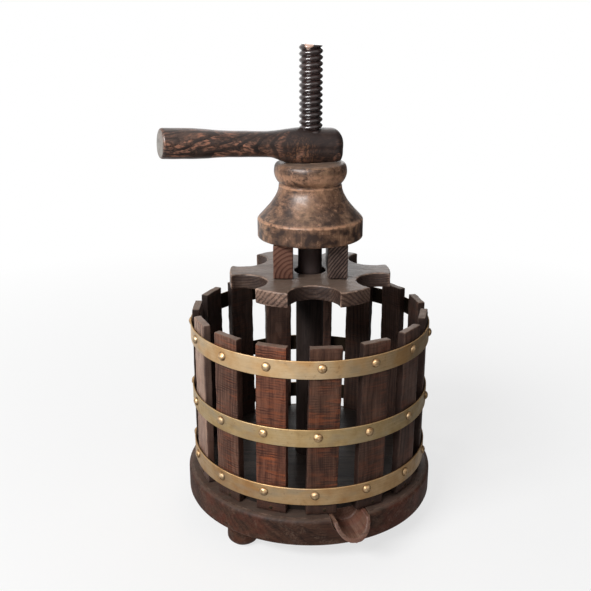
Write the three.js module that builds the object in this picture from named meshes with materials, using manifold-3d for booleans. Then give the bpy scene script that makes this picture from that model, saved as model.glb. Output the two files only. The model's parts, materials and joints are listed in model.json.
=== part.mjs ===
// Nutcracker shaped like a small basket wine press, in millimetres, +Z up.
// The origin is the centre of the base's flat underside, on the screw's axis, and the front is -Y.
// A handle that is the nut of the wooden screw pushes a bell, two bars and a toothed plate down
// into a basket of staves.
import * as THREE from 'three';
import * as BufferGeometryUtils from 'three/addons/utils/BufferGeometryUtils.js';
import Module from 'manifold-3d';

const wasm = await Module();
wasm.setup();

// ---- driving dimensions -------------------------------------------------------------------
const FIT = 0.3; // gap where one wooden piece stands in, on or round another that is cut for it
const END_SOFTENING = 0.75; // ends of slats and blocks, as a share of the rounding on their edges

const BASE_RADIUS = 72;
const BASE_THICKNESS = 15.5;
const BASE_EDGE_ROUND = 2.2;
const FLOOR_THICKNESS = 3.2; // the floor disc that the staves are nailed round
const FLOOR_EDGE_ROUND = 0.6;
const SOCKET_DEPTH = 11; // how deep the post stands in the base

const FOOT_COUNT = 3;
const FOOT_RADIUS = 9;
const FOOT_HEIGHT = 12;
const FOOT_ROUND = 6;
const FOOT_INSET = 11; // from the base's rim in to the middle of a foot
const FIRST_FOOT_ANGLE = -127.7; // every angle is in degrees from +X, anticlockwise from above
const PEG_RADIUS = 3.5; // turned on the foot and glued into the base
const PEG_LENGTH = 8;

const STAVE_COUNT = 15;
const STAVE_WIDTH = 17.5;
const STAVE_THICKNESS = 5;
const STAVE_LENGTH = 95.7;
const STAVE_ROUND = 0.8;
const FIRST_STAVE_ANGLE = -84.4;
const BASKET_INSET = 4.8; // from the base's rim in to the outer corners of the staves

const HOOP_WIDTH = 9.8;
const HOOP_THICKNESS = 0.7;
const HOOP_SEAT = 0.1; // gap between stave and strip, and between the two layers of a lap
const HOOP_LAP = 16; // length of strip that lies double at the back
const HOOP_JOGGLE = 10; // length in which the strip steps out over its own end
const LAP_STAVE = 8; // the stave that the laps are nailed to, counted from the first
const HOOP_HEIGHTS = { hoop_bottom: 22.4, hoop_middle: 56.6, hoop_top: 94.7 }; // lower edges

const SPOUT_RADIUS = 10.4;
const SPOUT_WALL = 2.6;
const SPOUT_LENGTH = 21.5;
const SPOUT_OVERHANG = 9; // how far its lip stands out past the base
const SPOUT_SLANT = 7.5; // how far the mouth's rim stands back from the lip
const SPOUT_ANGLE = -72.6;

const SHANK_RADIUS = 7.75;
const SHANK_TOP = 128; // the shoulder, hidden in the plate
const NECK_RADIUS = 6.7;
const NECK_TOP = 156; // where the thread starts, hidden in the bell
const SCREW_RADIUS = 6.35; // crest of the thread
const SCREW_END_CHAMFER = 1;
const POST_TOP = 253.9;

const PLATE_BOTTOM = 123.6;
const PLATE_THICKNESS = 8.8;
const PLATE_RADIUS = 45.5;
const PLATE_TEETH = 6;
const FIRST_TOOTH_ANGLE = 2;
const SCALLOP_RADIUS = 13.3;
const SCALLOP_CIRCLE_RADIUS = 43.6;
const TOOTH_CORNER_ROUND = 1.6;
const PLATE_EDGE_ROUND = 1;
const SLIDING_CLEARANCE = 0.7; // all round the shank, which plate and bell slide along

const BAR_WIDTH = 11;
const BAR_HEIGHT = 18.9;
const BAR_LENGTH = 40;
const BAR_GAP = 18.6; // between the two bars, with the post in the middle
const BAR_ROUND = 0.5;

const BELL_RADIUS = 29.25;
const BELL_HEIGHT = 41.7;
const BELL_CHAMFER = 1.3;
const SKIRT_HEIGHT = 10.6; // up to the crease under the flare
const FLARE_START_IN = 1.1; // the slant at which the flare leaves the crease: inward
const FLARE_START_LIFT = 1.7; // and upward
const FLARE_END_LIFT = 7.6; // how far it runs straight up at its top
const FLARE_TOP_RADIUS = 17.45;
const FLARE_TOP_HEIGHT = 29;
const GROOVE_RADIUS = 17.05; // the root of the bead, set in from the flare's top edge
const GROOVE_HEIGHT = 29.7;
const BEAD_RADIUS = 20;
const BEAD_HEIGHT = 36.5; // where the bead is widest
const BEAD_RIM_RADIUS = 17;
const TOP_FACE_RADIUS = 12.5; // the level ring that carries the handle
const TOP_FACE_LIFT = 0.3; // how far it stands above the bead's rim
const COUNTERBORE_DEPTH = 16; // takes the post's shank when the bell is all the way down

const HUB_RADIUS = 9.4;
const HUB_DROP = 3.4; // the hub is deeper than it is wide by this much, all of it below
const HUB_OVERHANG = 18.5; // screw axis to the domed end
const HUB_DOME = 6.7; // depth of the dome
const HUB_SEAT = 8.5; // club's axis, at the screw, to the flat that bears on the bell
const HUB_TAPER_START = 2.5; // distances from the screw axis
const WAIST_RADIUS = 6.95;
const WAIST_START = 27;
const WAIST_END = 44;
const GRIP_START = 67;
const GRIP_RADIUS = 7.95;
const GRIP_END_ROUND = 1.2;
const HANDLE_REACH = 82.7; // screw axis to the end of the grip
const HANDLE_RISE = 3.5; // degrees that the grip points upward
const HANDLE_ANGLE = 203;
const NUT_CLEARANCE = 0.3;

// ---- sizes that follow from them ----------------------------------------------------------
const radians = THREE.MathUtils.degToRad;
const footCircleRadius = BASE_RADIUS - FOOT_INSET;
const floorTop = BASE_THICKNESS + FLOOR_THICKNESS;
const basketRadius = BASE_RADIUS - BASKET_INSET;
const staveFace = Math.sqrt(basketRadius ** 2 - (STAVE_WIDTH / 2 - STAVE_ROUND) ** 2);
const floorRadius = staveFace - STAVE_THICKNESS - FIT;
const postBottom = BASE_THICKNESS - SOCKET_DEPTH + FIT;
const postHole = SHANK_RADIUS + FIT;
const slidingBore = SHANK_RADIUS + SLIDING_CLEARANCE;
const neckBore = NECK_RADIUS + SLIDING_CLEARANCE;
const plateTop = PLATE_BOTTOM + PLATE_THICKNESS;
const bellBottom = plateTop + BAR_HEIGHT + FIT;
const bellTop = bellBottom + BELL_HEIGHT;
const handleHeight = bellTop + FIT + HUB_SEAT;

// ---- materials ----------------------------------------------------------------------------
const woodOf = (color, roughness) => new THREE.MeshStandardMaterial({ color, roughness, metalness: 0 });
const baseWood = woodOf(0x2a1712, 0.5);
const staveWood = woodOf(0x4a2a22, 0.6);
const plateWood = woodOf(0x4a3a30, 0.5);
const screwWood = woodOf(0x2b1a15, 0.35);
const bellWood = woodOf(0x5c3f2c, 0.45);
const handleWood = woodOf(0x4a2a1c, 0.4);
const brass = new THREE.MeshStandardMaterial({ color: 0xaa915f, roughness: 0.4, metalness: 1 });

// ---- shared shape helpers -----------------------------------------------------------------
const nutcracker = new THREE.Group();

function addPart(name, geometry, material, parent = nutcracker) {
  const mesh = new THREE.Mesh(geometry, material);
  mesh.name = name;
  parent.add(mesh);
  return mesh;
}

// Revolves a profile of (radius, height) points about Z. The profile runs up the outside.
function turned(profile, segments) {
  return new THREE.LatheGeometry(profile, segments).rotateX(Math.PI / 2);
}

const at = (radius, height) => new THREE.Vector2(radius, height);

// Points on an arc from one angle to another, both in radians and both included.
function arcPoints(centre, radius, start, end, steps) {
  const points = [];
  for (let i = 0; i <= steps; i++) {
    const angle = THREE.MathUtils.lerp(start, end, i / steps);
    points.push(at(centre.x + radius * Math.cos(angle), centre.y + radius * Math.sin(angle)));
  }
  return points;
}

// A rectangle round the origin with rounded corners.
function roundedRectangle(width, height, round) {
  const x = width / 2 - round;
  const y = height / 2 - round;
  const corners = [at(x, y), at(-x, y), at(-x, -y), at(x, -y)];
  const quarter = Math.PI / 2;
  return new THREE.Shape(corners.flatMap(
    (corner, i) => arcPoints(corner, round, i * quarter, (i + 1) * quarter, 2),
  ));
}

// Extrudes an outline to the full depth, both ends rounded over and the outline kept at full size.
function softExtrusion(shape, depth, round) {
  return new THREE.ExtrudeGeometry(shape, {
    depth: depth - 2 * round,
    bevelThickness: round,
    bevelSize: round,
    bevelOffset: -round,
    bevelSegments: 2,
  }).translate(0, 0, round);
}

function solidOf(geometry) {
  const bare = geometry.clone();
  bare.deleteAttribute('normal');
  bare.deleteAttribute('uv');
  const merged = BufferGeometryUtils.mergeVertices(bare, 1e-4);
  return new wasm.Manifold(new wasm.Mesh({
    numProp: 3,
    vertProperties: merged.attributes.position.array,
    triVerts: new Uint32Array(merged.index.array),
  }));
}

function geometryOf(solid) {
  const { vertProperties, triVerts } = solid.getMesh();
  const geometry = new THREE.BufferGeometry();
  geometry.setAttribute('position', new THREE.BufferAttribute(vertProperties, 3));
  geometry.setIndex(new THREE.BufferAttribute(triVerts, 1));
  return BufferGeometryUtils.toCreasedNormals(geometry, Math.PI / 6);
}

function cut(geometry, cutters) {
  return geometryOf(cutters.reduce(
    (solid, cutter) => solid.subtract(solidOf(cutter)),
    solidOf(geometry),
  ));
}

// A plain upright cylinder between two heights.
function rod(radius, bottom, top, segments) {
  return new THREE.CylinderGeometry(radius, radius, top - bottom, segments)
    .rotateX(Math.PI / 2)
    .translate(0, 0, (top + bottom) / 2);
}

// ---- feet: turned buns with a peg ---------------------------------------------------------
const footProfile = [
  at(0, -FOOT_HEIGHT),
  ...arcPoints(at(FOOT_RADIUS - FOOT_ROUND, FOOT_ROUND - FOOT_HEIGHT), FOOT_ROUND, -Math.PI / 2, 0, 6),
  at(FOOT_RADIUS, 0),
  at(PEG_RADIUS, 0),
  at(PEG_RADIUS, PEG_LENGTH),
  at(0, PEG_LENGTH),
];
const footPlaces = ['foot_front', 'foot_right', 'foot_rear'];
const footAngles = Array.from(
  { length: FOOT_COUNT },
  (_, i) => radians(FIRST_FOOT_ANGLE + (i * 360) / FOOT_COUNT),
);
footAngles.forEach((angle, i) => {
  const foot = addPart(footPlaces[i] ?? `foot_${i + 1}`, turned(footProfile, 18), baseWood);
  foot.position.set(footCircleRadius * Math.cos(angle), footCircleRadius * Math.sin(angle), 0);
});

// ---- spout: a half-round trough with a slanted mouth, let into the edge of the base ---------
// It is drawn along +X with its rim at height 0.
const spoutEnd = BASE_RADIUS + SPOUT_OVERHANG;
const spoutStart = spoutEnd - SPOUT_LENGTH;

function spoutGeometry() {
  const section = new THREE.Shape([
    ...arcPoints(at(0, 0), SPOUT_RADIUS, Math.PI, 2 * Math.PI, 20),
    ...arcPoints(at(0, 0), SPOUT_RADIUS - SPOUT_WALL, 2 * Math.PI, Math.PI, 16),
  ]);
  const trough = new THREE.ExtrudeGeometry(section, { depth: SPOUT_LENGTH, bevelEnabled: false })
    .rotateX(Math.PI / 2)
    .rotateZ(Math.PI / 2)
    .translate(spoutStart, 0, 0);
  const wedge = new THREE.Shape([
    at(spoutEnd - SPOUT_SLANT, 0),
    at(spoutEnd, -SPOUT_RADIUS),
    at(spoutEnd + SPOUT_RADIUS, -SPOUT_RADIUS),
    at(spoutEnd + SPOUT_RADIUS, SPOUT_RADIUS),
    at(spoutEnd - 2 * SPOUT_SLANT, SPOUT_RADIUS),
  ]);
  const mouth = new THREE.ExtrudeGeometry(wedge, { depth: 4 * SPOUT_RADIUS, bevelEnabled: false })
    .rotateX(Math.PI / 2)
    .translate(0, 2 * SPOUT_RADIUS, 0);
  return cut(trough, [mouth]);
}

function placedAtSpout(geometry) {
  return geometry.rotateZ(radians(SPOUT_ANGLE)).translate(0, 0, BASE_THICKNESS);
}

addPart('spout', placedAtSpout(spoutGeometry()), bellWood);

// ---- base: a turned board with a socket for the post, peg holes and the spout's notch --------
const baseProfile = [
  at(0, 0),
  at(BASE_RADIUS - BASE_EDGE_ROUND / 2, 0),
  at(BASE_RADIUS, BASE_EDGE_ROUND / 2),
  ...arcPoints(
    at(BASE_RADIUS - BASE_EDGE_ROUND, BASE_THICKNESS - BASE_EDGE_ROUND),
    BASE_EDGE_ROUND, 0, Math.PI / 2, 4,
  ),
  at(postHole, BASE_THICKNESS),
  at(postHole, BASE_THICKNESS - SOCKET_DEPTH),
  at(0, BASE_THICKNESS - SOCKET_DEPTH),
];
const notchStart = spoutStart - FIT;
const notchLength = spoutEnd - notchStart;
const spoutNotch = placedAtSpout(
  new THREE.CylinderGeometry(SPOUT_RADIUS + FIT, SPOUT_RADIUS + FIT, notchLength, 40)
    .rotateZ(Math.PI / 2)
    .translate(notchStart + notchLength / 2, 0, 0),
);
const pegHoles = footAngles.map((angle) => rod(PEG_RADIUS + FIT, -FIT, PEG_LENGTH + FIT, 24)
  .translate(footCircleRadius * Math.cos(angle), footCircleRadius * Math.sin(angle), 0));
addPart('base', cut(turned(baseProfile, 80), [spoutNotch, ...pegHoles]), baseWood);

// ---- floor disc: lies on the base round the post ---------------------------------------------
const floorProfile = [
  at(postHole, BASE_THICKNESS),
  at(floorRadius, BASE_THICKNESS),
  ...arcPoints(
    at(floorRadius - FLOOR_EDGE_ROUND, floorTop - FLOOR_EDGE_ROUND),
    FLOOR_EDGE_ROUND, 0, Math.PI / 2, 2,
  ),
  at(postHole, floorTop),
  at(postHole, BASE_THICKNESS),
];
addPart('floor_disc', turned(floorProfile, 60), baseWood);

// ---- staves: flat slats that stand on the base round the floor disc ----------------------------
const staveGeometry = softExtrusion(
  roundedRectangle(STAVE_THICKNESS, STAVE_WIDTH, STAVE_ROUND),
  STAVE_LENGTH,
  STAVE_ROUND * END_SOFTENING,
).translate(staveFace - STAVE_THICKNESS / 2, 0, BASE_THICKNESS);
for (let i = 0; i < STAVE_COUNT; i++) {
  const name = `stave_${String(i + 1).padStart(2, '0')}`;
  const stave = addPart(name, staveGeometry, staveWood);
  stave.rotation.z = radians(FIRST_STAVE_ANGLE + (i * 360) / STAVE_COUNT);
}

// ---- hoops: brass strips bent round the staves, each lapped over its own end at the back -------
const hoopInside = basketRadius + HOOP_SEAT;
const lapTurn = HOOP_LAP / hoopInside;
const joggleTurn = HOOP_JOGGLE / hoopInside;

function hoopOutline() {
  const step = radians(5);
  const end = 2 * Math.PI + lapTurn;
  const count = Math.ceil(end / step);
  const inside = [];
  const outside = [];
  for (let i = 0; i <= count; i++) {
    const turn = (end * i) / count;
    const lift = THREE.MathUtils.smoothstep(turn, 2 * Math.PI - joggleTurn, 2 * Math.PI);
    const radius = hoopInside + lift * (HOOP_THICKNESS + HOOP_SEAT);
    const direction = at(Math.cos(turn), Math.sin(turn));
    inside.push(direction.clone().multiplyScalar(radius));
    outside.push(direction.clone().multiplyScalar(radius + HOOP_THICKNESS));
  }
  return new THREE.Shape([...outside, ...inside.reverse()]);
}

const lapCentre = radians(FIRST_STAVE_ANGLE + (LAP_STAVE * 360) / STAVE_COUNT);
for (const [name, height] of Object.entries(HOOP_HEIGHTS)) {
  const geometry = new THREE.ExtrudeGeometry(hoopOutline(), { depth: HOOP_WIDTH, bevelEnabled: false });
  const hoop = addPart(name, geometry, brass);
  hoop.position.z = height;
  hoop.rotation.z = lapCentre - lapTurn / 2;
}

// ---- post: shank, shoulder, neck and screw in one turned piece ----------------------------------
const postProfile = [
  at(0, postBottom),
  at(SHANK_RADIUS, postBottom),
  at(SHANK_RADIUS, SHANK_TOP),
  at(NECK_RADIUS, SHANK_TOP),
  at(NECK_RADIUS, NECK_TOP),
  at(SCREW_RADIUS, NECK_TOP),
  at(SCREW_RADIUS, POST_TOP - SCREW_END_CHAMFER),
  at(SCREW_RADIUS - SCREW_END_CHAMFER, POST_TOP),
  at(0, POST_TOP),
];
addPart('press_post', turned(postProfile, 36), screwWood);

// ---- plate: a disc scalloped into teeth ------------------------------------------------------------
// Each tooth is its outer arc, then a corner round, a scallop and the next corner round. A corner
// round touches the outer circle from inside and the scallop's circle from outside.
function plateOutline() {
  const pitch = (2 * Math.PI) / PLATE_TEETH;
  const cornerCircle = PLATE_RADIUS - TOOTH_CORNER_ROUND;
  const reach = SCALLOP_RADIUS + TOOTH_CORNER_ROUND;
  const halfScallop = Math.acos(
    (cornerCircle ** 2 + SCALLOP_CIRCLE_RADIUS ** 2 - reach ** 2)
      / (2 * cornerCircle * SCALLOP_CIRCLE_RADIUS),
  );
  const points = [];
  for (let i = 0; i < PLATE_TEETH; i++) {
    const tooth = radians(FIRST_TOOTH_ANGLE) + i * pitch;
    const middle = tooth + pitch / 2; // of the scallop that follows this tooth
    const scallop = at(Math.cos(middle), Math.sin(middle)).multiplyScalar(SCALLOP_CIRCLE_RADIUS);
    const [near, far] = [middle - halfScallop, middle + halfScallop].map(
      (angle) => at(Math.cos(angle), Math.sin(angle)).multiplyScalar(cornerCircle),
    );
    const toNear = near.clone().sub(scallop).angle();
    const toFar = far.clone().sub(scallop).angle();
    const sweep = THREE.MathUtils.euclideanModulo(toNear - toFar, 2 * Math.PI);
    const toothHalf = pitch / 2 - halfScallop;
    const cornerSweep = THREE.MathUtils.euclideanModulo(
      toNear + Math.PI - (middle - halfScallop),
      2 * Math.PI,
    );
    const corner = (centre, start, end) => arcPoints(centre, TOOTH_CORNER_ROUND, start, end, 3).slice(1);
    points.push(...arcPoints(at(0, 0), PLATE_RADIUS, tooth - toothHalf, tooth + toothHalf, 4));
    points.push(...corner(near, middle - halfScallop, middle - halfScallop + cornerSweep));
    points.push(...arcPoints(scallop, SCALLOP_RADIUS, toNear, toNear - sweep, 10).slice(1));
    points.push(...corner(far, toFar - Math.PI, toFar - Math.PI + cornerSweep).slice(0, -1));
  }
  return new THREE.Shape(points);
}

const plateShape = plateOutline();
plateShape.holes.push(new THREE.Path(
  arcPoints(at(0, 0), slidingBore + PLATE_EDGE_ROUND, 0, 2 * Math.PI, 32).slice(1),
));
addPart('press_plate', softExtrusion(plateShape, PLATE_THICKNESS, PLATE_EDGE_ROUND), plateWood)
  .position.z = PLATE_BOTTOM;

// ---- bars: two blocks on the plate, end grain to the front -----------------------------------------
const barGeometry = softExtrusion(
  roundedRectangle(BAR_WIDTH, BAR_HEIGHT, BAR_ROUND),
  BAR_LENGTH,
  BAR_ROUND * END_SOFTENING,
).rotateX(Math.PI / 2).translate(0, BAR_LENGTH / 2, plateTop + BAR_HEIGHT / 2);
const barOffset = (BAR_GAP + BAR_WIDTH) / 2;
addPart('bar_left', barGeometry, plateWood).position.x = -barOffset;
addPart('bar_right', barGeometry, plateWood).position.x = barOffset;

// ---- bell: turned, with a straight skirt, an ogee flare, a groove and a bead -----------------------
const flare = new THREE.CubicBezierCurve(
  at(BELL_RADIUS, SKIRT_HEIGHT),
  at(BELL_RADIUS - FLARE_START_IN, SKIRT_HEIGHT + FLARE_START_LIFT),
  at(FLARE_TOP_RADIUS, FLARE_TOP_HEIGHT - FLARE_END_LIFT),
  at(FLARE_TOP_RADIUS, FLARE_TOP_HEIGHT),
);
const beadRim = at(BEAD_RIM_RADIUS, BELL_HEIGHT - TOP_FACE_LIFT);
const beadBelly = at(BEAD_RADIUS, BEAD_HEIGHT);
const beadBelow = new THREE.QuadraticBezierCurve(
  at(GROOVE_RADIUS, GROOVE_HEIGHT),
  at(BEAD_RADIUS, (GROOVE_HEIGHT + BEAD_HEIGHT) / 2),
  beadBelly,
);
const beadAbove = new THREE.QuadraticBezierCurve(beadBelly, at(BEAD_RADIUS, beadRim.y), beadRim);
const bellProfile = [
  at(slidingBore, 0),
  at(BELL_RADIUS - BELL_CHAMFER, 0),
  at(BELL_RADIUS, BELL_CHAMFER),
  ...flare.getPoints(8),
  ...beadBelow.getPoints(4),
  ...beadAbove.getPoints(4).slice(1),
  at(TOP_FACE_RADIUS, BELL_HEIGHT),
  at(neckBore, BELL_HEIGHT),
  at(neckBore, COUNTERBORE_DEPTH),
  at(slidingBore, COUNTERBORE_DEPTH),
  at(slidingBore, 0),
];
addPart('bell', turned(bellProfile, 48), bellWood).position.z = bellBottom;

// ---- handle: a waisted club, domed at the hub and flat under it, bored through for the screw -------
// The club lies along +X, with 0 on the screw's axis. A second, lower bulb deepens its hub, so that
// the flat is wide enough to cover the bell's bore, and runs out into the waist.
const toWaist = (distance) => THREE.MathUtils.smoothstep(distance, HUB_TAPER_START, WAIST_START);

function clubRadius(distance) {
  const toGrip = THREE.MathUtils.smoothstep(distance, WAIST_END, GRIP_START);
  const waisted = THREE.MathUtils.lerp(HUB_RADIUS, WAIST_RADIUS, toWaist(distance));
  return waisted + toGrip * (GRIP_RADIUS - WAIST_RADIUS);
}

const bulbRadius = (distance) => clubRadius(distance) - toWaist(distance) * (HUB_DROP + FIT);

// Turns a stick from the hub's domed end to the points of its other end.
function turnedStick(radiusAt, straightEnd, steps, endPoints) {
  const domeStart = HUB_OVERHANG - HUB_DOME;
  const dome = arcPoints(at(0, 0), 1, -Math.PI / 2, 0, 6)
    .map((point) => at(HUB_RADIUS * point.x, HUB_DOME * point.y - domeStart));
  const body = [];
  for (let i = 0; i <= steps; i++) {
    const distance = THREE.MathUtils.lerp(HUB_TAPER_START, straightEnd, i / steps);
    body.push(at(radiusAt(distance), distance));
  }
  return new THREE.LatheGeometry([...dome, ...body, ...endPoints], 30).rotateZ(-Math.PI / 2);
}

function handleGeometry() {
  const straightEnd = HANDLE_REACH - GRIP_END_ROUND;
  const endRound = arcPoints(
    at(GRIP_RADIUS - GRIP_END_ROUND, straightEnd),
    GRIP_END_ROUND, 0, Math.PI / 2, 2,
  ).slice(1);
  const rise = -radians(HANDLE_RISE);
  const club = turnedStick(clubRadius, straightEnd, 14, [...endRound, at(0, HANDLE_REACH)]).rotateY(rise);
  const bulb = turnedStick(bulbRadius, WAIST_START, 6, [at(0, WAIST_START)])
    .translate(0, 0, -HUB_DROP)
    .rotateY(rise);
  const bore = rod(SCREW_RADIUS + NUT_CLEARANCE, -2 * HUB_RADIUS, 2 * HUB_RADIUS, 36);
  const underSeat = new THREE.BoxGeometry(4 * HUB_OVERHANG, 4 * HUB_RADIUS, HUB_RADIUS)
    .translate(0, 0, -HUB_SEAT - HUB_RADIUS / 2);
  const stick = solidOf(club).add(solidOf(bulb));
  return geometryOf(stick.subtract(solidOf(bore)).subtract(solidOf(underSeat)));
}

const handle = addPart('handle', handleGeometry(), handleWood);
handle.position.z = handleHeight;
handle.rotation.z = radians(HANDLE_ANGLE);

export default nutcracker;
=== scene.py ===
# A wooden nutcracker in the form of a small basket press. Metres, +Z up, the front at -Y.
import json
import math
import random
import bpy
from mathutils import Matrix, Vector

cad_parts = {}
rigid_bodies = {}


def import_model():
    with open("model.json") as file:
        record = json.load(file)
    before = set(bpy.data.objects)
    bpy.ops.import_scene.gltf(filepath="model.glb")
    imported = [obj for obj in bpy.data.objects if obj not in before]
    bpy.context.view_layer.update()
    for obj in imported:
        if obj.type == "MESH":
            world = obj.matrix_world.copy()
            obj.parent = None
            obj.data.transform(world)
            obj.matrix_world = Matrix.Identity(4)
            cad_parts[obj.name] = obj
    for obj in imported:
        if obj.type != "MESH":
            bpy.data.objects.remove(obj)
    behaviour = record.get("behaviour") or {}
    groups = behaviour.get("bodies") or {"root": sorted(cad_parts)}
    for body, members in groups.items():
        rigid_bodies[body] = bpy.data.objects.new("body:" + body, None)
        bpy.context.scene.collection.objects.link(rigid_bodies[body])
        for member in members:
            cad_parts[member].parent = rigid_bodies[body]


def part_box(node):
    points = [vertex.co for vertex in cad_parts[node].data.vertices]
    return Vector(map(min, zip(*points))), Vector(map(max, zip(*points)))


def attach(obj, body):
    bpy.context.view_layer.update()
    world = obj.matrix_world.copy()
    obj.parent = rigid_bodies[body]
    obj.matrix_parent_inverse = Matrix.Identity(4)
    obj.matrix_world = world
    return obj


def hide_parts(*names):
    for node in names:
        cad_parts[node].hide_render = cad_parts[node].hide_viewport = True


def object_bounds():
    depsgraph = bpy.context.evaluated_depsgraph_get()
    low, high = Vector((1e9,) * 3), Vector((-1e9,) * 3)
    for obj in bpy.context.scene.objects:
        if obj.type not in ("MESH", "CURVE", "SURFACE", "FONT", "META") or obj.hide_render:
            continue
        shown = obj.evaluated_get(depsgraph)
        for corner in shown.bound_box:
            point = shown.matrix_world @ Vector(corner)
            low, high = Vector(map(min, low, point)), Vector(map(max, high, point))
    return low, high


for leftover in list(bpy.data.objects):
    bpy.data.objects.remove(leftover)
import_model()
cad_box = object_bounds()

# ---- Base ------------------------------------------------------------------
# A thick board of dark-stained hardwood, turned to a disc with its rim rounded over and a fine
# line scored inside it. A half-round notch in its edge takes the spout, and a hole the post.
mm = 0.001
same_place = 0.001 * mm
base_low, base_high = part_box("base")
base_radius = (base_high[0] - base_low[0]) / 2
base_top = base_high[2]
rim_round = 2.4 * mm
rim_line = 0.25 * mm
under_round = 1.2 * mm
side_rings = (5 * mm, 9 * mm)
top_rings = (60 * mm, 40 * mm)
post_hole = 8.05 * mm
socket_depth = 11 * mm
spout_angle = math.radians(-72.6)
spout_radius = 10.4 * mm
notch_length = 30 * mm
notch_reach = 74 * mm
notch_gap = 0.3 * mm


def paint(red, green, blue):
    """A paint card's colour, 0 to 255 a channel, in the linear values that a shader takes."""
    return tuple(
        (c / 255) / 12.92 if c <= 10 else ((c / 255 + 0.055) / 1.055) ** 2.4
        for c in (red, green, blue)
    )


def pick_none():
    bpy.ops.object.select_all(action="DESELECT")


def pick_only(piece):
    """Selects this piece and no other."""
    pick_none()
    piece.select_set(True)
    bpy.context.view_layer.objects.active = piece


def settle(piece, name=None):
    """Writes a piece's place, turn and size into its mesh, and gives it its name."""
    pick_only(piece)
    bpy.ops.object.transform_apply(location=True, rotation=True, scale=True)
    if name:
        piece.name = name
        piece.data.name = name
    return piece


def work(piece, tool, **settings):
    """Puts one modifier on a piece and applies it."""
    pick_only(piece)
    modifier = piece.modifiers.new(tool.lower(), tool)
    for setting, value in settings.items():
        setattr(modifier, setting, value)
    bpy.ops.object.modifier_apply(modifier=modifier.name)


def carve(piece, other, how="DIFFERENCE"):
    """Cuts another solid out of a piece, or joins the two, and clears the other away."""
    work(piece, "BOOLEAN", operation=how, solver="EXACT", object=other)
    bpy.data.objects.remove(other)


def mode(kind):
    bpy.ops.object.mode_set(mode=kind)


def select_all():
    bpy.ops.mesh.select_all(action="SELECT")


def open_up(piece):
    """Goes into edit mode on a piece, with all of it selected."""
    pick_only(piece)
    mode("EDIT")
    select_all()


def close_up():
    """Merges doubled points, turns the faces outwards and goes back to object mode."""
    select_all()
    bpy.ops.mesh.remove_doubles(threshold=same_place)
    bpy.ops.mesh.normals_make_consistent(inside=False)
    mode("OBJECT")


def smooth(piece, sharp=35):
    """Shades a piece smooth, apart from edges sharper than an angle in degrees."""
    pick_only(piece)
    bpy.ops.object.shade_smooth_by_angle(angle=math.radians(sharp))


def middle(low, high):
    """The middle of a box, from its lowest and highest corners."""
    return [(a + b) / 2 for a, b in zip(low, high)]


def arc(centre, radius, start, end, steps):
    """Points on an arc in a turned piece's outline, angles in degrees, both ends included."""
    turns = [math.radians(start + (end - start) * i / steps) for i in range(steps + 1)]
    return [(centre[0] + radius * math.cos(t), centre[1] + radius * math.sin(t)) for t in turns]


def spot(reach, bearing, height=0.0, across=0.0):
    """A place so far out from the Z axis in a bearing, and so far across to the left from there."""
    cos, sin = math.cos(bearing), math.sin(bearing)
    return (reach * cos - across * sin, reach * sin + across * cos, height)


def draw_outline(name, points):
    """A line of points in the XZ plane, drawn by extruding from the first, left in edit mode."""
    pick_none()
    bpy.ops.mesh.primitive_plane_add(size=mm)
    line = settle(bpy.context.object, name)
    open_up(line)
    bpy.ops.mesh.select_mode(type="VERT")
    bpy.ops.mesh.merge(type="CENTER")
    bpy.ops.transform.translate(value=(points[0][0], 0, points[0][1]))
    for (x0, z0), (x1, z1) in zip(points, points[1:]):
        bpy.ops.mesh.extrude_region_move(TRANSFORM_OT_translate={"value": (x1 - x0, 0, z1 - z0)})
    return line


def sweep(angle, steps):
    """In edit mode, carries what is selected on round the Z axis."""
    bpy.ops.mesh.spin(steps=steps, angle=angle, center=(0, 0, 0), axis=(0, 0, 1))


def turn(name, outline, steps):
    """Turns an outline of (radius, height) points about Z, as on a lathe."""
    piece = draw_outline(name, outline)
    select_all()
    sweep(2 * math.pi, steps)
    close_up()
    return piece


def round_bar(radius, depth, centre=(0, 0, 0), lie=(0, 0, 0), sides=72, name=None):
    """A plain round bar, to shape or to cut with."""
    pick_none()
    bpy.ops.mesh.primitive_cylinder_add(vertices=sides, radius=radius, depth=depth,
                                        location=centre, rotation=lie)
    return settle(bpy.context.object, name)


def feed(tree, target, sockets):
    """Gives each socket of a shader node a value, or links another node's output to it."""
    for socket, value in sockets.items():
        if isinstance(value, bpy.types.NodeSocket):
            tree.links.new(value, target.inputs[socket])
        else:
            target.inputs[socket].default_value = value


def node(tree, kind, *feeds, output=0, **settings):
    """Adds a shader node and gives back one output. Feeds go to its sockets in order; a setting
    with a capital is a socket by name, and the rest are the node's own."""
    new = tree.nodes.new("ShaderNode" + kind)
    for name, value in settings.items():
        if name[0].islower():
            setattr(new, name, value)
    sockets = {i: value for i, value in enumerate(feeds) if value is not None}
    for name, value in settings.items():
        if name[0].isupper():
            sockets[name.replace("_", " ")] = value
    feed(tree, new, sockets)
    return new.outputs[output]


def sums(tree, operation, *feeds):
    return node(tree, "Math", *feeds, operation=operation)


def times(tree, first, second):
    return sums(tree, "MULTIPLY", first, second)


def plus(tree, total, value, share):
    """A total with a share of one more value added."""
    return sums(tree, "MULTIPLY_ADD", value, share, total)


def measure(tree, operation, *feeds):
    """A length, a distance or a dot product, taken from places or directions."""
    return node(tree, "VectorMath", *feeds, operation=operation, output=1)


def stretched(tree, place, stretch):
    return node(tree, "VectorMath", place, stretch, operation="MULTIPLY")


def own_place(tree):
    """Where a point lies in its own piece."""
    return node(tree, "TexCoord", output=3)


def own_facing(tree):
    """The way that a point's surface looks, in its own piece."""
    return node(tree, "TexCoord", output=1)


def upward(tree, place):
    return node(tree, "SeparateXYZ", place, output=2)


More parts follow.
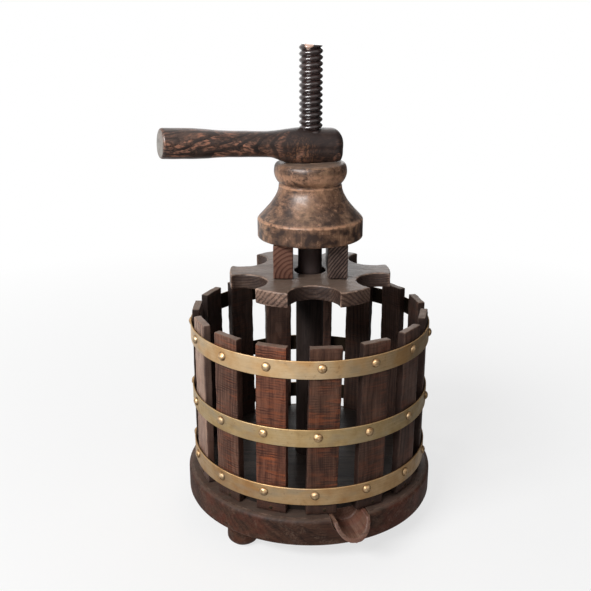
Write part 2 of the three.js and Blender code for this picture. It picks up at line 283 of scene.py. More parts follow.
def spread(tree, value, low, high, out_low=0.0, out_high=1.0):
    """Stretches a value's range from low..high to out_low..out_high, held at both ends."""
    return node(tree, "MapRange", value, low, high, out_low, out_high)


def cloud(tree, place, scale, detail=2.0, stretch=(1, 1, 1), output=0):
    """A noise with lumps of 1/scale metres, drawn out along the axes that stretch shrinks."""
    if stretch != (1, 1, 1):
        place = stretched(tree, place, stretch)
    return node(tree, "TexNoise", output=output, Vector=place, Scale=scale, Detail=detail)


def patches(tree, place, scale, detail, low, high, stretch=(1, 1, 1), faint=0.0, full=1.0):
    """A noise pattern cut to patches: faint where it is under low, and full over high."""
    return spread(tree, cloud(tree, place, scale, detail, stretch), low, high, faint, full)


def lay(tree, under, colour, amount, share=1.0):
    """Lays a colour over the one under it, as strongly as a share of an amount says."""
    if share != 1.0:
        amount = times(tree, amount, share)
    return node(tree, "Mix", amount, *[None] * 5, under, (*paint(*colour), 1),
                output=2, data_type="RGBA")


def ramp(tree, value, *stops):
    """A colour ramp of (place, colour) stops. A bare number stands for a grey."""
    new = tree.nodes.new("ShaderNodeValToRGB")
    tree.links.new(value, new.inputs[0])
    elements = new.color_ramp.elements
    elements.remove(elements[1])
    for i, (place, colour) in enumerate(stops):
        element = elements.new(place) if i else elements[0]
        element.position = place
        element.color = (*((colour,) * 3 if isinstance(colour, float) else paint(*colour)), 1)
    return new.outputs[0]


def new_finish(name):
    """A new material, with its node tree and its shader."""
    finish = bpy.data.materials.new(name)
    finish.use_nodes = True
    return finish, finish.node_tree, finish.node_tree.nodes["Principled BSDF"]


def stained_wood(name, deep, body, light, heart=(0, 0, 0), lie=(0, 0, 0), ring_gap=1.6 * mm,
                 rings=0.4, fibres=0.35, blotches=0.35, wobble=2.5 * mm, worn=None, wear=0.0,
                 soft_wear=0.0, edge=1.2 * mm, scuffs=0.0, scuff_size=3 * mm, gloss=(0.35, 0.6),
                 shine=0.2, coat=(0.0, 0.03), relief=0.5, marks=0.0, mark_gap=1.45 * mm, flame=None,
                 flames=0.0, flame_size=2.4 * mm, flame_run=(1, 0.12, 0.12), figured=False,
                 shade_side=None, shade_strength=0.8, dust_and_sheen=None, dust_and_sheen_share=0.6):
    """Oiled and stained hardwood. The grain's length lies along X, turned by lie, and the growth
    rings lie round a heart line through heart. Marks are a saw's lines across the grain, flames
    are streaks where the stain is thin or thick, and in figured wood they follow the rings. Wear
    bares sharp edges and soft_wear rounded ones, and scuffs the faces. The faces that look along
    a given direction take a painted shade, and those that look up take dust mixed with a painted
    sheen of the bright surround. A coat is the varnish's weight and roughness."""
    ring_run = 0.06
    waver_scale, blotch_scale, streak_scale, fibre_scale, pore_scale = 45, 70, 420, 1900, 3200
    bare = worn or light
    finish, tree, shader = new_finish(name)
    place = node(tree, "Mapping", own_place(tree), heart, lie, vector_type="TEXTURE")
    waver = cloud(tree, place, waver_scale, 3, (0.35, 1, 1), output=1)
    waver = node(tree, "VectorMath", waver, (0.5, 0.5, 0.5), operation="SUBTRACT")
    warped = node(tree, "VectorMath", waver, (4 * wobble,) * 3, place, operation="MULTIPLY_ADD")
    from_heart = measure(tree, "LENGTH", stretched(tree, warped, (ring_run, 1, 1)))
    year = sums(tree, "FRACT", times(tree, from_heart, 1 / ring_gap))
    late = ramp(tree, year, (0.0, 0.25), (0.45, 0.1), (0.85, 1.0), (0.97, 0.9), (1.0, 0.25))
    fibre = patches(tree, place, fibre_scale, 3, 0.34, 0.66, (0.02, 1, 1))
    streak = patches(tree, place, streak_scale, 2, 0.34, 0.66, (0.05, 1, 1))
    pore = patches(tree, place, pore_scale, 1, 0.6, 0.68, (0.06, 1, 1))
    blotch = patches(tree, place, blotch_scale, 4, 0.33, 0.67, (0.45, 1, 1))
    darkness = times(tree, late, rings)
    for part, share in ((fibre, fibres), (streak, 0.6 * fibres), (blotch, blotches)):
        darkness = plus(tree, darkness, part, share)
    darkness = times(tree, darkness, 1 / (rings + 1.6 * fibres + blotches))
    colour = ramp(tree, darkness, (0.15, light), (0.5, body), (0.85, deep))
    height = plus(tree, times(tree, fibre, 0.35), late, 0.25)
    if flames:
        course = warped if flame_run[0] < 1 else place
        glow = times(tree, patches(tree, course, 1 / flame_size, 3, 0.44, 0.62, flame_run),
                     patches(tree, place, 0.1 / flame_size, 2, 0.4, 0.58))
        if figured:
            glow = times(tree, glow, spread(tree, late, 0.6, 0.25))
        colour = lay(tree, colour, flame, glow, flames)
    if marks:
        line = node(tree, "TexWave", place, output=1, bands_direction="X", Scale=0.314 / mark_gap,
                    Distortion=3.5, Detail=3.0, Detail_Scale=1.1)
        broken = times(tree, patches(tree, place, 110, 2, 0.35, 0.6),
                       patches(tree, place, 330, 3, 0.4, 0.56, (1, 0.25, 0.25)))
        mark = times(tree, spread(tree, line, 0.35, 0.95), broken)
        colour = lay(tree, colour, deep, mark, marks)
        height = plus(tree, height, mark, -0.8 * marks)
    colour = lay(tree, colour, deep, pore, 0.5)
    if scuffs:
        rub = times(tree, patches(tree, place, 0.6 / scuff_size, 5, 0.5, 0.62),
                    patches(tree, place, 3 / scuff_size, 3, 0.42, 0.6))
        colour = lay(tree, colour, bare, rub, scuffs)
    # A painted shade on the faces that look along the given direction.
    if shade_side:
        looks = sums(tree, "ABSOLUTE", measure(tree, "DOT_PRODUCT", own_facing(tree), shade_side))
        colour = lay(tree, colour, deep, spread(tree, looks, 0.35, 0.8), shade_strength)
    # On faces that look up: dust, and a painted sheen of the bright surround.
    if dust_and_sheen:
        lying = times(tree, spread(tree, upward(tree, own_facing(tree)), 0.6, 0.97),
                      patches(tree, place, 120, 4, 0.25, 0.6, faint=0.55))
        colour = lay(tree, colour, dust_and_sheen, lying, dust_and_sheen_share)
    if soft_wear:
        sharpness = node(tree, "NewGeometry", output=7)
        rubbed = times(tree, spread(tree, sharpness, 0.512, 0.545),
                       patches(tree, place, 170, 4, 0.42, 0.56))
        colour = lay(tree, colour, bare, rubbed, soft_wear)
    if wear:
        rounded = node(tree, "Bevel", samples=6, Radius=edge)
        across = measure(tree, "DOT_PRODUCT", rounded, node(tree, "NewGeometry", output=1))
        rubbed = times(tree, spread(tree, across, 0.985, 0.9),
                       patches(tree, place, 260, 4, 0.4, 0.62))
        colour = lay(tree, colour, bare, rubbed, wear)
    dullness = plus(tree, times(tree, fibre, 0.3), blotch, 0.7)
    height = plus(tree, height, pore, -0.6)
    bump = node(tree, "Bump", Strength=relief, Distance=0.12 * mm, Height=height)
    feed(tree, shader, {
        "Base Color": colour, "Roughness": spread(tree, dullness, 0, 1, *gloss), "Normal": bump,
        "Specular IOR Level": shine, "Coat Weight": coat[0], "Coat Roughness": coat[1],
    })
    return finish


def finish_piece(piece, finish, body, slot, *nodes):
    """Gives a piece its finish and its body, and hides the CAD nodes that it stands for. The slot
    is not used.
    """
    piece.data.materials.clear()
    piece.data.materials.append(finish)
    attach(piece, body)
    if nodes:
        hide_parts(*nodes)


base_outline = [
    (0, 0),
    (base_radius - under_round, 0),
    (base_radius - under_round / 3, under_round / 4),
    (base_radius, under_round),
    *((base_radius, height) for height in side_rings),
    *arc((base_radius - rim_round, base_top - rim_round - rim_line), rim_round, 0, 90, 8),
    (base_radius - rim_round - 0.1 * mm, base_top),
    (base_radius - rim_round - 1.5 * mm, base_top),
    *((radius, base_top) for radius in top_rings),
    (post_hole, base_top),
    (post_hole, base_top - socket_depth),
    (0, base_top - socket_depth),
]
base = turn("base_board", base_outline, 180)
carve(base, round_bar(spout_radius + notch_gap, notch_length,
                      spot(notch_reach, spout_angle, base_top), (0, math.pi / 2, spout_angle)))
smooth(base)
base_finish = stained_wood(
    "base_stain", (34, 20, 14), (60, 39, 29), (80, 54, 41),
    heart=(0, 30 * mm, -35 * mm), lie=(0, 0, math.radians(12)), ring_gap=2.6 * mm, rings=0.25,
    worn=(132, 110, 96), wear=0.6, scuffs=0.2, gloss=(0.42, 0.62), shine=0.12, dust_and_sheen=(98, 84, 75),
    flame=(98, 46, 32), flames=0.35, flame_size=6 * mm, flame_run=(0.3, 1, 1),
)
finish_piece(base, base_finish, "basket", "base_wood", "base")

# ---- Floor disc ------------------------------------------------------------
# A thin turned disc of the same hardwood, stained darker. It lies on the base, fits round the
# post and closes the bottom of the basket, and the staves are fixed to its edge.
disc_low, disc_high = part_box("floor_disc")
disc_radius = (disc_high[0] - disc_low[0]) / 2
disc_top = disc_high[2]
disc_round = 0.6 * mm
disc_bevel = 0.3 * mm
disc_outline = [
    (post_hole, base_top),
    (disc_radius, base_top),
    *arc((disc_radius - disc_round, disc_top - disc_round), disc_round, 0, 90, 4),
    (40 * mm, disc_top),
    (post_hole + disc_bevel, disc_top),
    (post_hole, disc_top - disc_bevel),
    (post_hole, base_top),
]
disc = turn("floor_disc_turned", disc_outline, 150)
smooth(disc)
disc_finish = stained_wood(
    "disc_stain", (26, 20, 18), (45, 37, 33), (64, 53, 47),
    heart=(0, -20 * mm, -15 * mm), ring_gap=2.2 * mm, worn=(90, 78, 70), wear=0.3, gloss=(0.3, 0.5),
)
finish_piece(disc, disc_finish, "basket", "base_wood", "floor_disc")

# ---- Feet ------------------------------------------------------------------
# Three small buns turned from the base's wood and stained like it, each held to the underside
# of the base by a glued peg, which is not drawn. They are rubbed a little uneven.
bun_round = 5 * mm
shoulder_round = 1.2 * mm
foot_seam = 0.05 * mm


def weather(piece, lump, depth, group=""):
    """Wears a surface down unevenly, up to a depth, in lumps of about the given size."""
    pattern = bpy.data.textures.new(piece.name + "_wear", "CLOUDS")
    pattern.noise_scale = lump
    work(piece, "DISPLACE", texture=pattern, texture_coords="LOCAL", strength=depth,
         mid_level=1.0, vertex_group=group)


for side in ("front", "right", "rear"):
    foot_low, foot_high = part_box("foot_" + side)
    foot_radius = (foot_high[0] - foot_low[0]) / 2
    sole = foot_low[2]
    foot_outline = [
        (0, sole),
        (foot_radius - bun_round - 0.4 * mm, sole),
        *arc((foot_radius - bun_round, sole + bun_round), bun_round, -86, 0, 10),
        (foot_radius, -4 * mm),
        *arc((foot_radius - shoulder_round, -1.6 * mm), shoulder_round, 0, 70, 3),
        (foot_radius - 1.0 * mm, -foot_seam),
        (0, -foot_seam),
    ]
    foot = turn("bun_foot_" + side, foot_outline, 48)
    foot.location[:2] = middle(foot_low, foot_high)[:2]
    settle(foot)
    weather(foot, 4 * mm, 0.3 * mm)
    smooth(foot)
    finish_piece(foot, base_finish, "basket", "base_wood", "foot_" + side)

# ---- Spout -----------------------------------------------------------------
# A half-round trough cut from a turned tube, its mouth sawn back at a slant and its lip rubbed
# pale. It is glued into the notch in the base.
spout_wall = 2.6 * mm
spout_start = 59.5 * mm
spout_end = 81 * mm
spout_slant = 7.5 * mm
quarter_turn = (0, math.radians(90), 0)


def saw_off(through, away, drop="clear_outer"):
    """In edit mode, saws through the whole mesh, drops one side of the cut and closes it."""
    select_all()
    bpy.ops.mesh.bisect(plane_co=through, plane_no=away, use_fill=True, **{drop: True})


def soften(piece, grain, rounds):
    """Remeshes a piece evenly and rubs its edges round."""
    work(piece, "REMESH", mode="VOXEL", voxel_size=grain)
    work(piece, "SMOOTH", factor=0.5, iterations=rounds)


spout = round_bar(spout_radius, spout_end - spout_start, ((spout_start + spout_end) / 2, 0, 0),
                  quarter_turn, name="spout_trough")
carve(spout, round_bar(spout_radius - spout_wall, 40 * mm, (spout_end, 0, 0), quarter_turn))
open_up(spout)
saw_off((0, 0, 0), (0, 0, 1))
saw_off((spout_end, 0, -spout_radius), (1, 0, spout_slant / spout_radius))
close_up()
soften(spout, 0.4 * mm, 14)
weather(spout, 5 * mm, 0.35 * mm)
spout.rotation_euler.z = spout_angle
spout.location.z = base_top
settle(spout)
smooth(spout, 60)
spout_finish = stained_wood(
    "spout_stain", (68, 45, 37), (106, 79, 66), (130, 104, 88),
    heart=(0, 0, 30 * mm), lie=(0, 0, spout_angle), ring_gap=1.8 * mm, rings=0.2,
    worn=(142, 106, 98), soft_wear=0.8, scuffs=0.2, gloss=(0.4, 0.6),
    flame=(112, 62, 46), flames=0.5, flame_size=4 * mm,
)
finish_piece(spout, spout_finish, "basket", "spout_wood", "spout")

# ---- Post ------------------------------------------------------------------
# One turned stick: a shank that stands in the base, a slimmer neck, and a wooden screw cut with
# a screw box. Its thread is rounded by use and polished nearly black.
post_low, post_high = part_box("press_post")
shank_radius = (post_high[0] - post_low[0]) / 2
post_top = post_high[2]
shank_ring = 60 * mm
shank_top = 128 * mm
shank_bevel = 0.6 * mm
neck_radius = 6.7 * mm
screw_crest = 6.35 * mm
screw_root = 5.0 * mm
screw_start = 156 * mm
pitch = 3.175 * mm
thread_phase = 150.47 * mm
thread_points = 14
thread_sides = 48
end_chamfer = 1.1 * mm
end_chip = (-1.2 * mm, -4.4 * mm, post_top)
blank_radius = 9 * mm


def cut_thread(name, outline, bottom, top, skin=0.0):
    """A screw thread from one pitch of its outline, sawn off flat at the bottom and the top."""
    low = thread_phase + (math.floor((bottom - thread_phase) / pitch) - 1) * pitch
    turns = math.ceil((top - low) / pitch) + 2
    thread = draw_outline(name, [(r + skin, low + z) for r, z in outline])
    mode("OBJECT")
    work(thread, "SCREW", axis="Z", angle=2 * math.pi, screw_offset=pitch, iterations=turns,
         steps=thread_sides, render_steps=thread_sides, use_merge_vertices=True,
         merge_threshold=same_place)
    open_up(thread)
    saw_off((0, 0, bottom), (0, 0, 1), "clear_inner")
    saw_off((0, 0, top), (0, 0, 1))
    close_up()
    return thread


def join_up(pieces, name):
    """Makes one piece of many, and names it."""
    pick_only(pieces[0])
    for piece in pieces:
        piece.select_set(True)
    bpy.ops.object.join()
    return settle(bpy.context.object, name)


def tint(finish, amount, colour):
    """Lays one more colour over a finish, as strongly as an amount says."""
    tree = finish.node_tree
    surface = tree.nodes["Principled BSDF"].inputs["Base Color"]
    tree.links.new(lay(tree, surface.links[0].from_socket, colour, amount), surface)


shank = turn("post_shank", [
    (0, post_low[2]),
    (shank_radius, post_low[2]),
    (shank_radius, shank_ring),
    (shank_radius, shank_top - shank_bevel),
    (shank_radius - shank_bevel, shank_top),
    (neck_radius, shank_top),
    (neck_radius, screw_start - shank_bevel),
    (neck_radius - shank_bevel, screw_start),
    (0, screw_start),
], 72)
thread_outline = [
    (screw_root + (screw_crest - screw_root) * abs(math.sin(math.pi * i / thread_points)),
     pitch * i / thread_points)
    for i in range(thread_points + 1)
]
screw = cut_thread("post_screw", thread_outline, screw_start + 0.02 * mm, post_top + mm)
carve(screw, turn("screw_blank", [
    (0, screw_start),
    (blank_radius, screw_start),
    (blank_radius, post_top - end_chamfer + screw_crest - blank_radius),
    (screw_crest - end_chamfer, post_top),
    (0, post_top),
], 72), "INTERSECT")
open_up(screw)
saw_off((-4 * mm, 0, post_top), (0.06, 0, 1))
close_up()
post = join_up([shank, screw], "post_and_screw")
smooth(post, 50)
screw_finish = stained_wood(
    "screw_polish", (28, 18, 17), (44, 31, 29), (58, 41, 38),
    heart=(4 * mm, 6 * mm, 0), lie=quarter_turn, ring_gap=1.4 * mm,
    rings=0.1, fibres=0.15, gloss=(0.3, 0.4), coat=(1.0, 0.1), relief=0.02,
)
tree = screw_finish.node_tree
place = own_place(tree)
from_chip = measure(tree, "DISTANCE", place, end_chip)
from_chip = plus(tree, from_chip, cloud(tree, place, 500, 3), 2.4 * mm)
tint(screw_finish, spread(tree, from_chip, 4.1 * mm, 3.5 * mm), (216, 178, 158))
finish_piece(post, screw_finish, "basket", "screw_wood", "press_post")
shank_finish = stained_wood(
    "shank_stain", (24, 18, 16), (40, 31, 28), (52, 42, 38),
    heart=(3 * mm, 9 * mm, 0), lie=quarter_turn, rings=0.15, fibres=0.2,
    gloss=(0.45, 0.6), shine=0.06,
)
tree = shank_finish.node_tree
# The neck above the shank is painted paler: a painted light on it.
neck_painted_light = spread(tree, upward(tree, own_place(tree)), 126 * mm, 133 * mm, 0.0, 0.85)
tint(shank_finish, neck_painted_light, (84, 72, 70))
post.data.materials.append(shank_finish)
for face in post.data.polygons:
    face.material_index = 1 if face.center.z < screw_start + 0.1 * mm else 0

# ---- Staves ----------------------------------------------------------------
# Fifteen flat slats, sawn to size with the saw's marks left on, that stand on the base round
# the floor disc. Their edges are softened by hand and chipped by use, and a few lean a little.
chance = random.Random(15)
stave_width = 17.5 * mm
stave_thickness = 5 * mm
stave_softening = 0.9 * mm
stave_rim = 1.3 * mm
stave_tones = {
    "stave_15": ((58, 32, 24), (96, 59, 45), (122, 78, 60)),
    "stave_14": ((48, 29, 23), (84, 58, 47), (112, 82, 68)),
    # stave_13's pale tones are partly a painted sheen of the light from the left.
    "stave_13": ((60, 38, 31), (152, 122, 104), (180, 150, 130)),
    "stave_01": ((44, 27, 21), (74, 49, 38), (98, 69, 55)),
    "stave_03": ((42, 29, 25), (74, 55, 47), (100, 78, 68)),
}
front_tones = ((36, 24, 20), (63, 44, 36), (88, 64, 53))
back_tones = ((36, 26, 23), (60, 45, 39), (82, 63, 55))
stave_marks = {"stave_15": 1.0, "stave_14": 0.9, "stave_01": 0.8}
stave_flames = {"stave_15": 0.85, "stave_14": 0.35, "stave_01": 0.4}
stave_leans = {"stave_01": 1.2, "stave_02": 1.3, "stave_03": 1.1, "stave_15": 0.4, "stave_14": 0.2}
stave_names = ["stave_%02d" % number for number in range(1, 16)]
first_low, first_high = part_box("stave_01")
stave_length = first_high[2] - first_low[2]


def select_where(piece, kind, wanted):
    """In edit mode, selects the points or edges whose place passes a test."""
    bpy.ops.mesh.select_mode(type=kind)
    bpy.ops.mesh.select_all(action="DESELECT")
    mode("OBJECT")
    mesh = piece.data
    if kind == "VERT":
        for point in mesh.vertices:
            point.select = wanted(point.co)
    else:
        for edge in mesh.edges:
            edge.select = wanted(*(mesh.vertices[i].co for i in edge.vertices))
    mode("EDIT")


def softened_block(name, size, centre, softening, cuts):
    """A block with soft edges, left in edit mode. Each of its cuts (axis, length, number) parts
    the edges that run further than a length along an axis."""
    pick_none()
    bpy.ops.mesh.primitive_cube_add(size=1)
    block = bpy.context.object
    block.scale = size
    block.location = centre
    settle(block, name)
    open_up(block)
    bpy.ops.mesh.bevel(offset=softening, segments=3, affect="EDGES")
    for axis, length, number in cuts:
        select_where(block, "EDGE", lambda a, b: abs(a[axis] - b[axis]) > length)
        bpy.ops.mesh.subdivide(number_cuts=number)
    return block


def copy_of(pattern):
    """A copy of a pattern piece, with its own mesh."""
    pick_only(pattern)
    bpy.ops.object.duplicate()
    return bpy.context.object


slat = softened_block(
    "slat_pattern", (stave_thickness, stave_width, stave_length), (0, 0, 0), stave_softening,
    ((2, 10 * mm, 72), (1, 5 * mm, 14), (0, 1.5 * mm, 3)),
)
side_edge = stave_width / 2 - stave_rim
end_edge = stave_length / 2 - stave_rim
select_where(slat, "VERT", lambda p: abs(p.y) > side_edge or abs(p.z) > end_edge)
bpy.ops.object.vertex_group_assign_new()
mode("OBJECT")
slat.vertex_groups[0].name = "edges"
for name in stave_names:
    low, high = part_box(name)
    centre = middle(low, high)
    bearing = math.atan2(centre[1], centre[0])
    lean = math.radians(stave_leans.get(name, chance.uniform(-0.6, 0.6)))
    stave = copy_of(slat)
    stave.rotation_euler = (-lean, 0, bearing)
    stave.location = centre
    settle(stave, name.replace("stave", "slat"))
    weather(stave, 14 * mm, 0.35 * mm)
    weather(stave, 5 * mm, 0.5 * mm, "edges")
    smooth(stave, 40)
    at_back = math.sin(bearing) > 0.2
    tone = chance.uniform(0.82, 1.1)
    # Seen through the gaps, the staves at the back are painted lighter at the middle and right and
    # a little darker at the left: painted light and shade on their inner faces.
    if at_back:
        tone *= 1.3 if math.cos(bearing) > -0.4 else 0.95
    usual = [[tone * c for c in colour] for colour in (back_tones if at_back else front_tones)]
    stave_finish = stained_wood(
        name + "_stain", *stave_tones.get(name, usual),
        heart=(chance.uniform(-40, 40) * mm, chance.uniform(-40, 40) * mm, 0),
        lie=(0, math.radians(90), bearing), ring_gap=chance.uniform(1.2, 2.2) * mm, blotches=0.5,
        worn=(150, 122, 104), wear=0.45, gloss=(0.42, 0.62), relief=0.6,
        shine=0.4 if name == "stave_13" else 0.12, dust_and_sheen=(138, 118, 104), dust_and_sheen_share=0.75,
        marks=stave_marks.get(name, chance.uniform(0.3, 0.6)), flame=(144, 76, 44),
        flames=stave_flames.get(name, 0.1 if at_back else 0.15), flame_size=1.6 * mm,
        # The stave's side faces, between its neighbours, take a painted shade.
        shade_side=(-math.sin(bearing), math.cos(bearing), 0),
    )
    tree = stave_finish.node_tree
    place = own_place(tree)
    foot_height = plus(tree, upward(tree, place), cloud(tree, place, 160, 4), 16 * mm)
    # Lower down on stave_13 the painted sheen fades into warmer, darker wood.
    if name == "stave_13":
        sheen_fade = spread(tree, foot_height, low[2] + 52 * mm, low[2] + 20 * mm, 0.0, 0.7)
        tint(stave_finish, sheen_fade, (92, 56, 42))
    # Each stave is darker towards its foot.
    foot_darkening = spread(tree, foot_height, low[2] + 22 * mm, low[2] + 13 * mm, 0.0, 0.7)
    tint(stave_finish, foot_darkening, (52, 39, 34))
    finish_piece(stave, stave_finish, "basket", "stave_wood", name)
bpy.data.objects.remove(slat)

# ---- Hoops -----------------------------------------------------------------
# Three strips of brass bent round the staves, each lapped over its own end at the back. Their
# outsides are rubbed bright along fine rolling lines, and their insides are brown. The middle
# and bottom hoops are painted darker than the top one, a painted shade where they face the floor.
hoop_thickness = 0.7 * mm
strip_gap = 0.1 * mm
strip_round = 0.18 * mm
hoop_reach = 67.3 * mm
lap_bearing = math.radians(107.6)
lap_turn = 16 * mm / hoop_reach
joggle_turn = 10 * mm / hoop_reach
joggle_steps = 12
lap_steps = 8
hoop_steps = 140
hoop_dark_within = 67.5 * mm
# The middle and bottom hoops' tones are darker: a painted shade.
hoop_tones_lower_shaded = {
    "bottom": ((206, 174, 132), (188, 153, 110), (162, 123, 82)),
    "middle": ((204, 180, 138), (188, 161, 116), (156, 130, 90)),
    "top": ((218, 190, 150), (204, 172, 130), (184, 146, 100)),
}


def from_axis(tree):
    """How far a point lies from the Z axis."""
    return measure(tree, "LENGTH", stretched(tree, own_place(tree), (1, 1, 0)))


def brass_finish(name, pale, middling, dull, patch=11 * mm, dark_from=67.65 * mm):
    """Brass gone dull in patches and rubbed along its length. It is brown inside the hoops'
    radius, and its cut edges are duller and take a painted shade."""
    finish, tree, shader = new_finish(name)
    place = own_place(tree)
    lines = patches(tree, place, 2400, 3, 0.35, 0.65, (0.02, 0.02, 1))
    tarnish = patches(tree, place, 1 / patch, 5, 0.38, 0.68)
    spots = patches(tree, place, 520, 3, 0.62, 0.72)
    bloom = patches(tree, place, 60, 4, 0.52, 0.7, (1, 1, 2))
    # Brown on the faces inside the hoops' radius, and round the nails' feet.
    inside = spread(tree, from_axis(tree), dark_from, hoop_dark_within)
    level = sums(tree, "ABSOLUTE", upward(tree, node(tree, "NewGeometry", output=1)))
    shaded_cut_edge = spread(tree, level, 0.5, 0.85)
    colour = ramp(tree, tarnish, (0.0, pale), (0.5, middling), (1.0, dull))
    colour = lay(tree, colour, (160, 152, 134), bloom, 0.55)
    colour = lay(tree, colour, (158, 124, 84), lines, 0.3)
    colour = lay(tree, colour, (112, 80, 52), spots, 0.3)
    colour = lay(tree, colour, (46, 38, 30), inside)
    # The cut edges, facing up and down, take a painted shade.
    colour = lay(tree, colour, (112, 86, 58), shaded_cut_edge, 0.75)
    rough = plus(tree, 0.3, lines, 0.08)
    for part, share in ((tarnish, 0.16), (inside, 0.3), (shaded_cut_edge, 0.35)):
        rough = plus(tree, rough, part, share)
    bump = node(tree, "Bump", Strength=0.4, Distance=0.05 * mm, Height=lines)
    feed(tree, shader, {"Base Color": colour, "Roughness": rough, "Normal": bump, "Metallic": 1.0})
    return finish


def ease(value, start, end):
    """A smooth step from 0 at the start to 1 at the end."""
    t = min(max((value - start) / (end - start), 0), 1)
    return 3 * t * t - 2 * t ** 3


for where, tones in hoop_tones_lower_shaded.items():
    low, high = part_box("hoop_" + where)
    outside = (high[0] - low[0]) / 2
    inside = outside - hoop_thickness
    bottom, top = low[2], high[2]
    hoop = draw_outline("strip_" + where, [
        (inside, bottom),
        (outside - strip_round, bottom),
        (outside, bottom + strip_round),
        (outside, top - strip_round),
        (outside - strip_round, top),
        (inside, top),
        (inside, bottom),
    ])
    select_all()
    bpy.ops.mesh.remove_doubles(threshold=same_place)
    bpy.ops.mesh.edge_face_add()
    sweep(2 * math.pi - joggle_turn, hoop_steps)
    for i in range(joggle_steps):
        rise = ease(i + 1, 0, joggle_steps) - ease(i, 0, joggle_steps)
        sweep(joggle_turn / joggle_steps, 1)
        turned = 2 * math.pi - joggle_turn * (1 - (i + 1) / joggle_steps)
        bpy.ops.transform.translate(value=spot((hoop_thickness + strip_gap) * rise, turned))
    sweep(lap_turn, lap_steps)
    close_up()
    hoop.rotation_euler.z = lap_bearing - lap_turn / 2
    settle(hoop)
    smooth(hoop, 30)
    hoop_finish = brass_finish("aged_and_shaded_brass_" + where, *tones)
    finish_piece(hoop, hoop_finish, "basket", "brass", "hoop_" + where)

# ---- Nails -----------------------------------------------------------------
# Domed brass nails, one through each hoop into each stave, driven a little left of its middle.
# Their heads are dented by the hammer and tarnished in spots, and brown round their feet. The ninth
# holds the hoop's lap.
nail_radius = 2.7 * mm
nail_height = 1.9 * mm
nail_sink = 0.05 * mm
lap_stave = "stave_09"
nail_drift = {"bottom": -4.0 * mm, "middle": -3.1 * mm, "top": -1.2 * mm}
pick_none()
bpy.ops.mesh.primitive_uv_sphere_add(segments=20, ring_count=16, radius=nail_radius)
nail = bpy.context.object
nail.rotation_euler = quarter_turn
settle(nail, "nail_pattern")
open_up(nail)
saw_off((0, 0, 0), (-1, 0, 0))
close_up()
nail.scale.x = nail_height / nail_radius
settle(nail)
nail_finish = brass_finish(
    "nail_brass", (216, 186, 146), (174, 142, 104), (100, 76, 54), 1.5 * mm, dark_from=69.3 * mm,
)
for where, drift in nail_drift.items():
    low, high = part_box("hoop_" + where)
    heads = []
    for name in stave_names:
        stave_low, stave_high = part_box(name)
        reach = (high[0] - low[0]) / 2 - nail_sink
        if name == lap_stave:
            reach += hoop_thickness + strip_gap
        head = copy_of(nail)
        x, y = middle(stave_low, stave_high)[:2]
        bearing = math.atan2(y, x) + (drift + chance.uniform(-0.6, 0.6) * mm) / reach
        head.rotation_euler = (chance.uniform(0, 6.28), chance.uniform(-0.12, 0.12), bearing)
        head.location = spot(reach, bearing, (low[2] + high[2]) / 2 + chance.uniform(0.2, 1.4) * mm)
        heads.append(settle(head))
    nails = join_up(heads, "nails_" + where)
    weather(nails, 1.2 * mm, 0.5 * mm)
    smooth(nails, 50)
    finish_piece(nails, nail_finish, "basket", "brass")
bpy.data.objects.remove(nail)

# ---- Brads -----------------------------------------------------------------
# One small flat-headed brad through the foot of each stave, driven flush and darkened, that holds
# the stave to the edge of the floor disc.
brad_radius = 0.95 * mm
brad_head = 0.8 * mm
brad_sink = 0.3 * mm
brad = round_bar(brad_radius, brad_head, lie=quarter_turn, sides=16, name="brad_pattern")
open_up(brad)
bpy.ops.mesh.bevel(offset=0.2 * mm, segments=2, affect="EDGES")
mode("OBJECT")
heads = []
for name in stave_names:
    low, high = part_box(name)
    x, y = middle(low, high)[:2]
    bearing = math.atan2(y, x)
    reach = math.hypot(x, y) + stave_thickness / 2 - brad_sink
    across = chance.uniform(-0.5, 1.5) * mm
    head = copy_of(brad)
    head.rotation_euler = (0, chance.uniform(-0.08, 0.08), bearing)
    head.location = spot(reach, bearing, low[2] + chance.uniform(2.2, 3.4) * mm, across)
    heads.append(settle(head))
brads = join_up(heads, "stave_brads")
smooth(brads, 50)
brad_finish = brass_finish("brad_brass", (150, 122, 100), (104, 80, 66), (58, 42, 36))
finish_piece(brads, brad_finish, "basket", "brass")
bpy.data.objects.remove(brad)

# ---- Plate -----------------------------------------------------------------
# A disc sawn into six broad teeth with round scallops between them, bored to slide on the post.
# Its edges are rubbed soft, and its sides show rough end grain.
plate_low, plate_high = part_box("press_plate")
plate_radius = 45.5 * mm
first_tooth = math.radians(2)
teeth = 6
scallop_radius = 13.3 * mm
scallop_circle = 43.6 * mm
slide_bore = 8.45 * mm
plate_thickness = plate_high[2] - plate_low[2]
plate_middle = middle(plate_low, plate_high)[2]
plate = round_bar(plate_radius, plate_thickness, (0, 0, plate_middle), sides=180,
                  name="plate_scalloped")
for i in range(teeth):
    bearing = first_tooth + math.radians(360 / teeth * (i + 0.5))
    scallop = spot(scallop_circle, bearing, plate_middle)
    carve(plate, round_bar(scallop_radius, 3 * plate_thickness, scallop))
carve(plate, round_bar(slide_bore, 3 * plate_thickness, (0, 0, plate_middle)))
soften(plate, 0.6 * mm, 12)
weather(plate, 12 * mm, 0.4 * mm)
weather(plate, 2.5 * mm, 0.25 * mm)
smooth(plate, 60)
